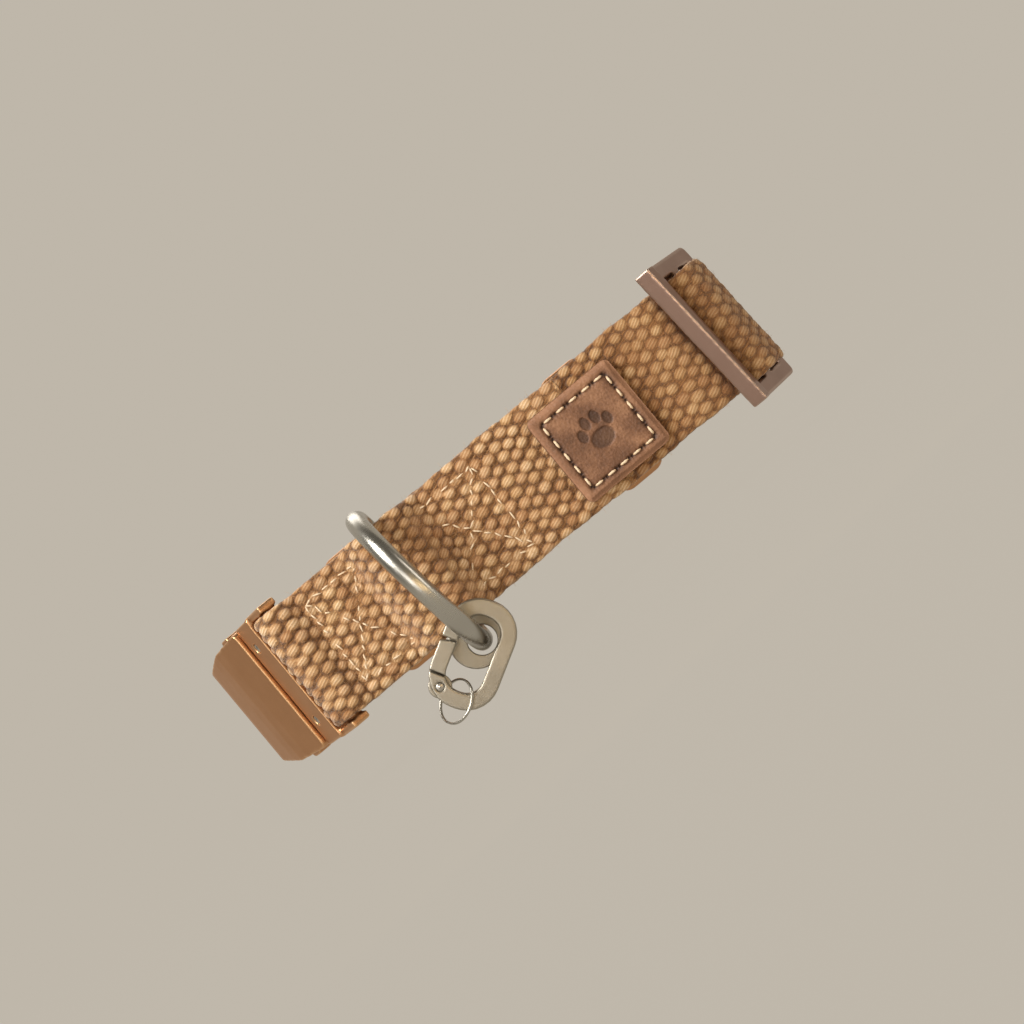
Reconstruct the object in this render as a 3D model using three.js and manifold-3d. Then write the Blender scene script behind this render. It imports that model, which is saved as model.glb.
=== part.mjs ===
// Martingale dog collar: a webbing neck strap with a metal side-release buckle, a three-bar
// length adjuster, a tag ring with a gate clip, and a slip loop at the back for the leash.
// Millimetres, +Z up. The collar stands on its edge, so every hinge of the strap runs along Z.
// The front of the collar faces -Y. The origin is under the middle of the whole object.
import * as THREE from 'three';
import { mergeVertices } from 'three/addons/utils/BufferGeometryUtils.js';
import Module from 'manifold-3d';

const wasm = await Module();
wasm.setup();

// Driving dimensions
const WEB_WIDTH = 25;
const WEB_THICK = 2;
const GAP = 0.3;
const LAYER_PITCH = WEB_THICK + GAP;
const HALF_WEB = WEB_WIDTH / 2;
const FRONT_Y = -36;
const TAIL_Y = FRONT_Y + LAYER_PITCH;
const BACK_Y = 33;

const MALE_BAR = new THREE.Vector2(-43.5, -34.85);
const BAR_RADIUS = 1.7;
const BUCKLE_TURN = THREE.MathUtils.degToRad(118);
const FEMALE_BAR = new THREE.Vector2(42.5, -7.5);
const ARM = { pivotS: 9.5, pivotZ: 8.8, pin: 0.9, pinHalf: 2.6, eye: 2.2, thick: 3.2 };
const SPRING = { s: 15.5, radius: 1, wire: 0.4, turns: 4, clear: 0.5 };
const CHEEK = { inner: 12.9, outer: 14.4 };
const STRAP_END_X = -37.5;
const TAIL_END_X = 5;
const FRONT_END_X = 40;

// The strap rises over the ring's straight bar in a flat-topped loop.
const TAG_LOOP = { foot: 8.6, crest: 4.2, rise: 4.3, radius: 2 };
const TAG_RING = { x: -17.6, y: -37, z: -1, wire: 1.95, halfWidth: 15.75, leg: 6.5, tilt: -7 };
const TAG_DISC = { radius: 5.2, hole: 2.8, thick: 1.2, back: -5.5, aside: -0.8, up: 0.6 };
const LEASH_RING = { wire: 1.7, halfWidth: 12.2, leg: 9.01 };

const PATCH = { x: 25.2, z: -0.9, side: 19.4, thick: 1.6, corner: 1.5 };

const SLIDE = { x: 51, y: -37, turn: 60, pitch: 9, barWidth: 3, barThick: 2.6, halfWidth: 16.2, skew: 6.3 };
const FRONT_BAR = { low: -1.3, high: 2.1, near: -1.5, far: 1.1 };
// Heights of the webbing layers over the slide's middle plane, and where each run is cut.
const SLIDE_UNDER = -2.8;
const SLIDE_OVER = 4.9;
const SLIDE_BEND = 1.15;
const UNDER_END = 19;
const ANCHOR = { under: -5.1, over: 2.6, reach: 2.8, start: 22, tail: -7.4, tailEnd: 18 };

const SLIP = { near: 25, far: 35, wire: 1.1, halfWidth: 13.9, corner: 2 };
const FOLD_RADIUS = SLIP.wire + GAP + WEB_THICK / 2;
const LOOP_WIDTH = 20;
const LOOP_RADIUS = 2.9;
const STRAP_JOIN_X = 45;

const CLIP = { length: 17.5, width: 10, corner: 4.6, band: 3, depth: 3.6, x: -18.4, y: -48, z: -17.4, turn: 28.9 };
const CLIP_PIN = { a: 7.6, b: -3.4, radius: 0.75 };
const GATE = { nose: -0.9, sweep: 8.5, shoulder: 5.3, tongue: 1.2, tongueEnd: 7, eye: 2.2, room: 2.7 };
const PLAY = 0.05;
const SPLIT_RING = { radius: 4.1, wire: 0.4, turn: 40 };

// Materials
function paint(color, roughness, metalness) {
  return () => new THREE.MeshStandardMaterial({ color, roughness, metalness });
}
const webbing = paint('#b98a5e', 0.95, 0);
const leather = paint('#966945', 0.7, 0);
const rosegold = paint('#b08f6b', 0.38, 0.9);
const nickel = paint('#b7a184', 0.3, 1);
const bronze = paint('#937662', 0.35, 1);
const brass = paint('#84745e', 0.35, 1);
const steel = paint('#b9b6b0', 0.3, 1);

// Solids and booleans
function toSolid(geometry) {
  const bare = geometry.clone();
  bare.deleteAttribute('normal');
  bare.deleteAttribute('uv');
  const merged = mergeVertices(bare, 1e-4);
  const mesh = new wasm.Mesh({
    numProp: 3,
    vertProperties: Float32Array.from(merged.attributes.position.array),
    triVerts: Uint32Array.from(merged.index.array),
  });
  return new wasm.Manifold(mesh);
}

function toGeometry(solid) {
  const mesh = solid.getMesh();
  const geometry = new THREE.BufferGeometry();
  geometry.setAttribute('position', new THREE.BufferAttribute(mesh.vertProperties, 3));
  geometry.setIndex(new THREE.BufferAttribute(mesh.triVerts, 1));
  geometry.computeVertexNormals();
  return geometry;
}

function joined(...geometries) {
  return toGeometry(geometries.map(toSolid).reduce((whole, next) => whole.add(next)));
}

function cut(body, ...tools) {
  return toGeometry(tools.map(toSolid).reduce((rest, tool) => rest.subtract(tool), toSolid(body)));
}

function block(low, high) {
  const [x, y, z] = high.map((value, axis) => value - low[axis]);
  const centre = high.map((value, axis) => (value + low[axis]) / 2);
  return new THREE.BoxGeometry(x, y, z).translate(...centre);
}

function rod(radius, low, high, sides = 20) {
  const start = new THREE.Vector3(...low);
  const along = new THREE.Vector3(...high).sub(start);
  const turn = new THREE.Quaternion().setFromUnitVectors(new THREE.Vector3(0, 1, 0), along.clone().normalize());
  const geometry = new THREE.CylinderGeometry(radius, radius, along.length(), sides);
  return geometry.applyQuaternion(turn).translate(...start.addScaledVector(along, 0.5).toArray());
}

// Paths: a list of corners [x, y, radius] becomes points along straight runs and round corners.
function roundedPath(corners, closed = false) {
  const points = [];
  const count = corners.length;
  corners.forEach(([x, y, radius], index) => {
    const here = new THREE.Vector2(x, y);
    if (!radius || (!closed && (index === 0 || index === count - 1))) {
      points.push(here);
      return;
    }
    const before = new THREE.Vector2(...corners[(index + count - 1) % count]).sub(here).normalize();
    const after = new THREE.Vector2(...corners[(index + 1) % count]).sub(here).normalize();
    const half = Math.acos(THREE.MathUtils.clamp(before.dot(after), -1, 1)) / 2;
    const reach = radius / Math.tan(half);
    const centre = before.clone().add(after).normalize().multiplyScalar(radius / Math.sin(half)).add(here);
    const from = before.clone().multiplyScalar(reach).add(here).sub(centre);
    const sweep = Math.PI - 2 * half;
    const side = Math.sign(before.cross(from));
    const steps = Math.max(2, Math.ceil(sweep / 0.26));
    for (let step = 0; step <= steps; step += 1) {
      points.push(from.clone().rotateAround(new THREE.Vector2(), (side * sweep * step) / steps).add(centre));
    }
  });
  return points;
}

function subdivided(points, longest, closed = false) {
  const fine = [];
  points.forEach((point, index) => {
    fine.push(point);
    const next = points[index + 1] ?? (closed ? points[0] : null);
    if (!next) return;
    const pieces = Math.ceil(point.distanceTo(next) / longest);
    for (let piece = 1; piece < pieces; piece += 1) {
      fine.push(point.clone().lerp(next, piece / pieces));
    }
  });
  return fine;
}

function offset(points, distance, closed) {
  const count = points.length;
  return points.map((point, index) => {
    const previous = points[closed ? (index + count - 1) % count : Math.max(index - 1, 0)];
    const next = points[closed ? (index + 1) % count : Math.min(index + 1, count - 1)];
    const into = point.clone().sub(previous).normalize();
    const out = next.clone().sub(point).normalize();
    const along = into.clone().add(out).normalize();
    const stretch = into.lengthSq() && out.lengthSq() ? 1 / along.dot(into) : 1;
    return new THREE.Vector2(-along.y, along.x).multiplyScalar(distance * stretch).add(point);
  });
}

// A band of the given thickness that follows a path in plan and is as wide as depth along Z.
function band(corners, { thick = WEB_THICK, depth = WEB_WIDTH, closed = false, step = 8 } = {}) {
  const points = subdivided(roundedPath(corners, closed), step, closed);
  const left = offset(points, thick / 2, closed);
  const right = offset(points, -thick / 2, closed);
  let shape;
  if (closed) {
    const [leftArea, rightArea] = [left, right].map((side) => Math.abs(THREE.ShapeUtils.area(side)));
    const outer = leftArea > rightArea ? left : right;
    shape = new THREE.Shape(outer);
    shape.holes.push(new THREE.Path(outer === left ? right : left));
  } else {
    shape = new THREE.Shape([...left, ...right.reverse()]);
  }
  return new THREE.ExtrudeGeometry(shape, { depth, bevelEnabled: false }).translate(0, 0, -depth / 2);
}

function roundedRectangle(width, height, radius) {
  const corners = [[-1, -1], [1, -1], [1, 1], [-1, 1]];
  return roundedPath(corners.map(([x, y]) => [(x * width) / 2, (y * height) / 2, radius]), true);
}

// A closed wire along points in space.
class WirePath extends THREE.Curve {
  constructor(points) {
    super();
    this.points = points;
  }

  getPoint(t) {
    const place = t * this.points.length;
    const index = Math.floor(place) % this.points.length;
    const next = this.points[(index + 1) % this.points.length];
    return this.points[index].clone().lerp(next, place - Math.floor(place));
  }
}

function closedWire(points, radius, steps = 72, sides = 12) {
  return new THREE.TubeGeometry(new WirePath(points), steps, radius, sides, true);
}

const collar = new THREE.Group();

function add(name, geometry, material, parent = collar) {
  const mesh = new THREE.Mesh(geometry, material());
  mesh.name = name;
  parent.add(mesh);
  return mesh;
}

// The three-bar slide has its own axes: s runs along the strap from bar to bar, n points outward.
const slideTurn = THREE.MathUtils.degToRad(SLIDE.turn);
const slideAlong = new THREE.Vector2(Math.cos(slideTurn), Math.sin(slideTurn));
const slideOut = new THREE.Vector2(Math.sin(slideTurn), -Math.cos(slideTurn));

function atSlide(s, n, radius = 0) {
  const place = new THREE.Vector2(SLIDE.x, SLIDE.y).addScaledVector(slideAlong, s).addScaledVector(slideOut, n);
  return [place.x, place.y, radius];
}

// The slide hangs a little crooked on the strap, and the webbing near it follows.
function skewed(geometry) {
  const position = geometry.attributes.position;
  const slope = Math.tan(THREE.MathUtils.degToRad(SLIDE.skew));
  for (let index = 0; index < position.count; index += 1) {
    const point = new THREE.Vector2(position.getX(index), position.getY(index));
    const s = point.clone().sub(new THREE.Vector2(SLIDE.x, SLIDE.y)).dot(slideAlong);
    const turn = THREE.MathUtils.smoothstep(s, -6, 0);
    const way = new THREE.Vector2(1, 0).lerp(slideAlong, turn).normalize();
    const starts = THREE.MathUtils.smoothstep(point.x, 41, 47);
    const ends = THREE.MathUtils.smoothstep(point.y, -14, 8);
    const shift = -slope * starts * (1 - ends) * position.getZ(index);
    position.setX(index, point.x + way.x * shift);
    position.setY(index, point.y + way.y * shift);
  }
  geometry.computeVertexNormals();
  return geometry;
}

// Front of the neck strap
function addFrontStrap() {
  const { foot, crest, rise, radius } = TAG_LOOP;
  const front = [
    [STRAP_END_X + GAP, FRONT_Y],
    [TAG_RING.x - foot, FRONT_Y, radius],
    [TAG_RING.x - crest, FRONT_Y - rise, radius],
    [TAG_RING.x + crest, FRONT_Y - rise, radius],
    [TAG_RING.x + foot, FRONT_Y, radius],
    [FRONT_END_X, FRONT_Y],
  ];
  add('front_strap', band(front), webbing);
  add('front_strap_tail', band([[STRAP_END_X + GAP, TAIL_Y], [TAIL_END_X, TAIL_Y]]), webbing);
}

function addPatch() {
  const shape = new THREE.Shape(roundedRectangle(PATCH.side, PATCH.side, PATCH.corner));
  const geometry = new THREE.ExtrudeGeometry(shape, { depth: PATCH.thick, bevelEnabled: false });
  geometry.rotateX(Math.PI / 2);
  geometry.translate(PATCH.x, FRONT_Y - WEB_THICK / 2 - GAP, PATCH.z);
  add('leather_patch', geometry, leather);
}

// Three-bar slide and the webbing woven through it
function addSlide() {
  const first = -SLIDE.barWidth / 2;
  const last = 2 * SLIDE.pitch + SLIDE.barWidth / 2;
  const plate = new THREE.Shape(roundedRectangle(last - first, 2 * SLIDE.halfWidth, 1.2));
  const slot = { half: (SLIDE.pitch - SLIDE.barWidth) / 2, high: HALF_WEB + GAP };
  [-1, 1].forEach((side) => {
    const outline = roundedRectangle(2 * slot.half, 2 * slot.high, 0.6);
    const middle = (side * SLIDE.pitch) / 2;
    plate.holes.push(new THREE.Path(outline.map((point) => point.add(new THREE.Vector2(middle, 0)))));
  });
  const edge = 0.35;
  const bevel = { bevelThickness: edge, bevelSize: edge, bevelOffset: -edge, bevelSegments: 1 };
  const flat = new THREE.ExtrudeGeometry(plate, { depth: SLIDE.barThick - 2 * edge, ...bevel });
  flat.rotateX(Math.PI / 2);
  flat.translate(SLIDE.pitch, SLIDE.barThick / 2 - edge, 0);

  // The bar at the front stands proud of the plate, on the outside of the strap.
  const { low, high, near, far } = FRONT_BAR;
  const geometry = joined(flat, block([near, -high, -SLIDE.halfWidth], [far, -low, SLIDE.halfWidth]));
  geometry.rotateZ(slideTurn);
  geometry.translate(SLIDE.x, SLIDE.y, 0);
  add('tri_glide', skewed(geometry), bronze);
}

function addSlideWebbing() {
  const rise = SLIDE.pitch / 2 - SLIDE_BEND;
  const fall = 1.5 * SLIDE.pitch + SLIDE_BEND;
  const woven = [
    [FRONT_END_X + GAP, FRONT_Y],
    atSlide(-0.46, SLIDE_UNDER, 3),
    atSlide(rise, SLIDE_UNDER, 1.2),
    atSlide(rise, SLIDE_OVER, 4.2),
    atSlide(fall, SLIDE_OVER, 4.2),
    atSlide(fall, SLIDE_UNDER, 1.2),
    atSlide(UNDER_END, SLIDE_UNDER),
  ];
  add('strap_through_slide', skewed(band(woven, { step: 3 })), webbing);

  const outer = [
    atSlide(UNDER_END + GAP, SLIDE_UNDER),
    atSlide(26, SLIDE_UNDER, 20),
    [61, 18, 14],
    [50, BACK_Y + LAYER_PITCH / 2, 8],
    [STRAP_JOIN_X, BACK_Y + LAYER_PITCH / 2],
  ];
  add('adjuster_outer', skewed(band(outer, { step: 4 })), webbing);

  // The strap's other end goes round the middle bar and lies back under itself.
  const { under, over, reach, start, tail, tailEnd } = ANCHOR;
  const anchored = [
    atSlide(start, under),
    atSlide(SLIDE.pitch + reach, under, 1.7),
    atSlide(SLIDE.pitch + reach, over, 1.7),
    atSlide(SLIDE.pitch - reach, over, 1.7),
    atSlide(SLIDE.pitch - reach, -3, 1.7),
    atSlide(12.5, tail, 3),
    atSlide(tailEnd, tail),
  ];
  add('slide_anchor', skewed(band(anchored, { step: 3 })), webbing);

  const inner = [
    atSlide(tailEnd + GAP, tail),
    atSlide(24.5, tail, 14),
    [58.2, 17.2, 12],
    [48.8, BACK_Y - LAYER_PITCH / 2, 6],
    [STRAP_JOIN_X, BACK_Y - LAYER_PITCH / 2],
  ];
  add('adjuster_inner', skewed(band(inner, { step: 4 })), webbing);
}

// Buckle: its axes are s along the strap, n outward, and Z across.
const buckle = new THREE.Group();
buckle.position.set(MALE_BAR.x, MALE_BAR.y, 0);
buckle.rotation.z = BUCKLE_TURN;
collar.add(buckle);

function addStrapFold() {
  const reach = BAR_RADIUS + GAP + WEB_THICK / 2;
  const outer = MALE_BAR.y - reach;
  const inner = MALE_BAR.y + reach;
  const fold = [
    [STRAP_END_X, FRONT_Y],
    [STRAP_END_X - 1.2, FRONT_Y, 1.5],
    [MALE_BAR.x + 2, outer, 1.5],
    [MALE_BAR.x - reach, outer, reach],
    [MALE_BAR.x - reach, inner, reach],
    [MALE_BAR.x + 2, inner, 1.5],
    [STRAP_END_X - 1.2, TAIL_Y, 1.5],
    [STRAP_END_X, TAIL_Y],
  ];
  add('strap_end_fold', band(fold), webbing);
}

function addMaleHalf() {
  const bar = rod(BAR_RADIUS, [0, 0, -14], [0, 0, 14]);
  const { inner, outer } = CHEEK;
  const cheeks = [-1, 1].map((side) => {
    return block([-2, -2, side > 0 ? inner : -outer], [6, 2, side > 0 ? outer : -inner]);
  });
  const plate = block([5, -2.6, -14.1], [12.3, 2.6, 14.1]);
  const guide = block([12, -1.7, -2.6], [29, 1.7, 2.6]);
  const pockets = [-1, 1].map((side) => {
    return block([6.6, -1.8, side > 0 ? 3 : -11.8], [13, 1.8, side > 0 ? 11.8 : -3]);
  });
  const holes = [-1, 1].map((side) => {
    const z = side * ARM.pivotZ;
    return rod(ARM.pin + PLAY, [ARM.pivotS, -3, z], [ARM.pivotS, 3, z]);
  });
  const frame = cut(joined(bar, ...cheeks, plate, guide), ...pockets, ...holes);
  add('buckle_male_frame', frame, rosegold, buckle);
}

function addReleaseArm(name, side) {
  const z = side * ARM.pivotZ;
  const half = ARM.thick / 2;
  const eye = rod(ARM.eye, [ARM.pivotS, -half, z], [ARM.pivotS, half, z]);
  const finger = [[26.4, 12.2], [24.6, 14.4], [21.6, 14.4], [20.2, 12.4]];
  const outline = [[9.5, 6.9], [19, 6.7], [26.4, 6.9], ...finger, [20.2, 9.4], [9.5, 10.9]];
  const points = outline.map(([s, across]) => new THREE.Vector2(s, side * across));
  const shape = new THREE.Shape(points);
  const beam = new THREE.ExtrudeGeometry(shape, { depth: ARM.thick, bevelEnabled: false });
  beam.rotateX(Math.PI / 2).translate(0, half, 0);
  const hole = rod(ARM.pin + PLAY, [ARM.pivotS, -3, z], [ARM.pivotS, 3, z]);
  add(`release_arm_${name}`, cut(joined(eye, beam), hole), rosegold, buckle);
  const pin = rod(ARM.pin, [ARM.pivotS, -ARM.pinHalf, z], [ARM.pivotS, ARM.pinHalf, z]);
  add(`release_pin_${name}`, pin, steel, buckle);

  // The spring presses the arm away from the guide in the middle of the frame.
  const wireShape = new THREE.Shape(roundedRectangle(SPRING.wire, SPRING.wire, 0));
  const coil = new Coil(SPRING.radius, side * (2.6 + SPRING.clear), side * (6.8 - SPRING.clear), SPRING.turns);
  const wire = new THREE.ExtrudeGeometry(wireShape, { extrudePath: coil, steps: 56, bevelEnabled: false });
  add(`release_spring_${name}`, wire.translate(SPRING.s, 0, 0), steel, buckle);
}

// A coil round the Z axis.
class Coil extends THREE.Curve {
  constructor(radius, start, end, turns) {
    super();
    Object.assign(this, { radius, start, end, turns });
  }

  getPoint(t) {
    const angle = 2 * Math.PI * this.turns * t;
    const height = THREE.MathUtils.lerp(this.start, this.end, t);
    return new THREE.Vector3(this.radius * Math.cos(angle), this.radius * Math.sin(angle), height);
  }
}

function addFemaleHalf() {
  const crownShape = new THREE.Shape(roundedPath([
    [12.7, -13.9, 1.2],
    [24, -13.2, 8],
    [39.5, -10.2, 3.4],
    [39.5, 10.2, 3.4],
    [24, 13.2, 8],
    [12.7, 13.9, 1.2],
  ], true));
  const outline = new THREE.ExtrudeGeometry(crownShape, { depth: 12, bevelEnabled: false });
  outline.rotateX(Math.PI / 2).translate(0, 6, 0);
  const profileShape = new THREE.Shape(roundedPath([
    [12, -3.2],
    [12, 3.3],
    [24, 4.7, 30],
    [36, 3.5, 8],
    [40, -0.8],
    [31, -3.2],
  ], true));
  const profile = new THREE.ExtrudeGeometry(profileShape, { depth: 32, bevelEnabled: false });
  profile.translate(0, 0, -16);
  const crown = toGeometry(toSolid(outline).intersect(toSolid(profile)));
  const slab = block([13.2, -3.6, -14.2], [31, -1.4, 14.2]);
  const root = new THREE.Vector2(28, -2.5);
  const leg = FEMALE_BAR.clone().sub(root);
  const reach = leg.length() + BAR_RADIUS;
  const { inner, outer } = CHEEK;
  const arms = [-1, 1].map((side) => {
    const arm = block([-1, -1.6, side > 0 ? inner : -outer], [reach, 1.6, side > 0 ? outer : -inner]);
    return arm.rotateZ(leg.angle()).translate(root.x, root.y, 0);
  });
  const bar = rod(BAR_RADIUS, [...FEMALE_BAR.toArray(), -14], [...FEMALE_BAR.toArray(), 14]);
  const cavity = block([12, -1.95, -11], [31, 1.95, 11]);
  const windows = block([19.8, -1.95, -16], [26.8, 1.95, 16]);
  add('buckle_female', cut(joined(crown, slab, ...arms, bar), cavity, windows), rosegold, buckle);
}

// D-shaped wire ring: its straight bar lies along Z at the group's origin and it opens towards -Y.
function ringWire({ halfWidth, leg, wire }) {
  const points = roundedPath([[0, -halfWidth, 2.4], [leg, -halfWidth], [leg, halfWidth], [0, halfWidth, 2.4]], true);
  const start = points.findIndex((point) => point.x === leg);
  const arc = [];
  for (let step = 1; step < 24; step += 1) {
    const angle = -Math.PI / 2 + (Math.PI * step) / 24;
    arc.push(new THREE.Vector2(leg + halfWidth * Math.cos(angle), halfWidth * Math.sin(angle)));
  }
  points.splice(start + 1, 0, ...arc);
  const even = subdivided(points, 1.4, true);
  return closedWire(even.map((point) => new THREE.Vector3(0, -point.x, point.y)), wire, 90);
}

const tagGroup = new THREE.Group();
tagGroup.position.set(TAG_RING.x, TAG_RING.y, TAG_RING.z);
tagGroup.rotation.y = THREE.MathUtils.degToRad(TAG_RING.tilt);
collar.add(tagGroup);

function addTagRing() {
  add('tag_d_ring', ringWire(TAG_RING), nickel, tagGroup);
  const z = -TAG_RING.halfWidth;
  const { radius, back, thick, aside, up } = TAG_DISC;
  const disc = rod(radius, [aside, back, z + up], [aside, back - thick, z + up], 32);
  const hole = rod(TAG_DISC.hole, [0, back + 1, z], [0, back - thick - 1, z], 24);
  add('tag_disc', cut(disc, hole), brass, tagGroup);
}

// Gate clip: an oval snap ring in the XZ plane. Its own axes are a, its length, and b, its width.
const clipGroup = new THREE.Group();
clipGroup.position.set(CLIP.x, CLIP.y, CLIP.z);
clipGroup.rotation.x = Math.PI / 2;
collar.add(clipGroup);
const clipFlat = new THREE.Group();
clipFlat.rotation.z = THREE.MathUtils.degToRad(180 + CLIP.turn);
clipGroup.add(clipFlat);

function addClip() {
  const a = CLIP.length / 2;
  const b = CLIP.width / 2;
  const options = { thick: CLIP.band, depth: CLIP.depth, step: 3 };
  const body = band([
    [GATE.nose - GAP, -b],
    [-a, -b, CLIP.corner],
    [-a, b, CLIP.corner],
    [a, b, CLIP.corner],
    [a, -b, CLIP.corner],
    [3, -b],
  ], options);
  const { a: pinA, b: pinB, radius } = CLIP_PIN;
  const atPin = (size, half, sides) => rod(size, [pinA, pinB, -half], [pinA, pinB, half], sides);
  const pinHole = atPin(radius + PLAY, 3, 20);

  // The body is slotted for the gate's thin tongue, and open where its wide part lies.
  const slotHalf = GATE.tongue / 2 + GAP;
  const gateRoom = block([GATE.nose, -b - 2, -3], [GATE.shoulder + GAP, -b + 2.5, 3]);
  const tongueRoom = block([3, -b - 2, -slotHalf], [pinA, -b + 2.5, slotHalf]);
  add('clip_body', cut(body, gateRoom, atPin(GATE.room, slotHalf, 24), tongueRoom, pinHole), brass, clipFlat);

  // The gate's nose is cut to an arc about the pin, so that it clears the body as it turns.
  const gate = band([[GATE.nose, -b], [a, -b, CLIP.corner], [a, 0]], options);
  const swept = toGeometry(toSolid(gate).intersect(toSolid(atPin(GATE.sweep, 3, 64))));
  const beside = [-1, 1].map((side) => {
    const half = GATE.tongue / 2;
    return block([GATE.shoulder, -9, side > 0 ? half : -3], [12, 1, side > 0 ? 3 : -half]);
  });
  const tongued = cut(swept, ...beside, block([GATE.tongueEnd, -9, -3], [12, 1, 3]));
  add('clip_gate', cut(joined(tongued, atPin(GATE.eye, GATE.tongue / 2, 24)), pinHole), brass, clipFlat);
  add('clip_gate_pin', atPin(radius, CLIP.depth / 2, 20), steel, clipFlat);
}

function addSplitRing() {
  const points = [];
  const turn = THREE.MathUtils.degToRad(SPLIT_RING.turn);
  for (let step = 0; step < 36; step += 1) {
    const angle = (2 * Math.PI * step) / 36;
    const across = SPLIT_RING.radius * Math.sin(angle);
    const along = SPLIT_RING.radius * Math.cos(angle) + CLIP.length / 2 + 0.3;
    points.push(new THREE.Vector3(along, across * Math.sin(turn) + 0.3, across * Math.cos(turn)));
  }
  add('split_ring', closedWire(points, SPLIT_RING.wire, 36, 8), nickel, clipFlat);
}

// Back of the collar: two slip rings, the strap ends folded round them, and the slip loop.
function addSlipRing(name, side) {
  const width = SLIP.far - SLIP.near;
  const outline = subdivided(roundedRectangle(width, 2 * SLIP.halfWidth, SLIP.corner), 1.5, true);
  const middle = (side * (SLIP.near + SLIP.far)) / 2;
  const points = outline.map((point) => new THREE.Vector3(point.x + middle, BACK_Y, point.y));
  add(`slip_ring_${name}`, closedWire(points, SLIP.wire, 72), rosegold);

  const fold = [
    [STRAP_JOIN_X - GAP, LAYER_PITCH / 2],
    [41.5, LAYER_PITCH / 2, 2],
    [38.5, FOLD_RADIUS, 2],
    [SLIP.far - FOLD_RADIUS, FOLD_RADIUS, FOLD_RADIUS],
    [SLIP.far - FOLD_RADIUS, -FOLD_RADIUS, FOLD_RADIUS],
    [38.5, -FOLD_RADIUS, 2],
    [41.5, -LAYER_PITCH / 2, 2],
    [STRAP_JOIN_X - GAP, -LAYER_PITCH / 2],
  ];
  add(`ring_fold_${name}`, band(fold.map(([x, y, radius]) => [side * x, BACK_Y + y, radius])), webbing);
}

function addSlipLoop() {
  const end = SLIP.near + LOOP_RADIUS;
  const corners = [[-1, -1], [1, -1], [1, 1], [-1, 1]];
  const loop = corners.map(([x, y]) => [x * end, BACK_Y + y * LOOP_RADIUS, LOOP_RADIUS]);
  add('slip_loop', band(loop, { closed: true, depth: LOOP_WIDTH }), webbing);
  const ring = add('leash_d_ring', ringWire(LEASH_RING), nickel);
  ring.rotation.z = Math.PI;
  ring.position.y = BACK_Y;
}

// The short strap from the buckle's female half round its bar and back to the left slip ring.
function addBuckleStrap() {
  const bar = new THREE.Vector2(...FEMALE_BAR).rotateAround(new THREE.Vector2(), BUCKLE_TURN).add(MALE_BAR);
  const reach = BAR_RADIUS + GAP + WEB_THICK / 2;
  const outerX = bar.x - reach;
  const innerX = outerX + LAYER_PITCH;
  const outerY = BACK_Y + LAYER_PITCH / 2;
  const innerY = BACK_Y - LAYER_PITCH / 2;
  const strap = [
    [-STRAP_JOIN_X, outerY],
    [-50, outerY, 8],
    [outerX, 20.2, 12],
    [outerX, bar.y - reach, reach],
    [bar.x + reach, bar.y - reach, reach],
    [bar.x + reach, bar.y + 2.4, 2],
    [innerX, bar.y + 7.4, 2],
    [innerX, 19, 10],
    [-48.8, innerY, 6],
    [-STRAP_JOIN_X, innerY],
  ];
  add('buckle_strap', band(strap, { step: 4 }), webbing);
}

addFrontStrap();
addPatch();
addSlide();
addSlideWebbing();
addStrapFold();
addMaleHalf();
addReleaseArm('upper', 1);
addReleaseArm('lower', -1);
addFemaleHalf();
addBuckleStrap();
addTagRing();
addClip();
addSplitRing();
addSlipRing('left', -1);
addSlipRing('right', 1);
addSlipLoop();

// Stand the collar on the ground plane, with the origin under its middle.
const box = new THREE.Box3().setFromObject(collar, true);
const centre = box.getCenter(new THREE.Vector3());
collar.position.set(-centre.x, -centre.y, -box.min.z);

export default collar;
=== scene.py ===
"""Martingale dog collar: woven webbing, stitching, a leather patch and satin metal hardware."""
import math

import bpy
import numpy as np
from mathutils import Matrix, Vector


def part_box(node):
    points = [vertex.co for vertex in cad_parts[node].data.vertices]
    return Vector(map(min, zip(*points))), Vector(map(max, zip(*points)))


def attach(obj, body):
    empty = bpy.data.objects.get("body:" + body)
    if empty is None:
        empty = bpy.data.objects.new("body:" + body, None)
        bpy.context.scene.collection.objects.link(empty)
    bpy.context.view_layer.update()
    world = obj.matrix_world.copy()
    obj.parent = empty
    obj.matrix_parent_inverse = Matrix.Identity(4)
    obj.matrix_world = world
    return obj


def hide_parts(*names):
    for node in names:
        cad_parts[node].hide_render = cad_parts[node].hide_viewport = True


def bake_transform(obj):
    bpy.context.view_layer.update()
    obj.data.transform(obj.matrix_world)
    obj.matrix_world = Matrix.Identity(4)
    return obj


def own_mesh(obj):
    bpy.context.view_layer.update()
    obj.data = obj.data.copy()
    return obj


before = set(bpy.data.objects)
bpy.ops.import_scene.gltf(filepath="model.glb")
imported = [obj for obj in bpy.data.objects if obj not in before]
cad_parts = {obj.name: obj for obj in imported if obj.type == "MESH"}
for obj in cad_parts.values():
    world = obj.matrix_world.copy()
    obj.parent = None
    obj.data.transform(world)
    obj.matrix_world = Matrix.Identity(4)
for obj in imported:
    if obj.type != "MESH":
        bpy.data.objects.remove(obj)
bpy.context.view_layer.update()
RANDOM = np.random.RandomState(7)

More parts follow.
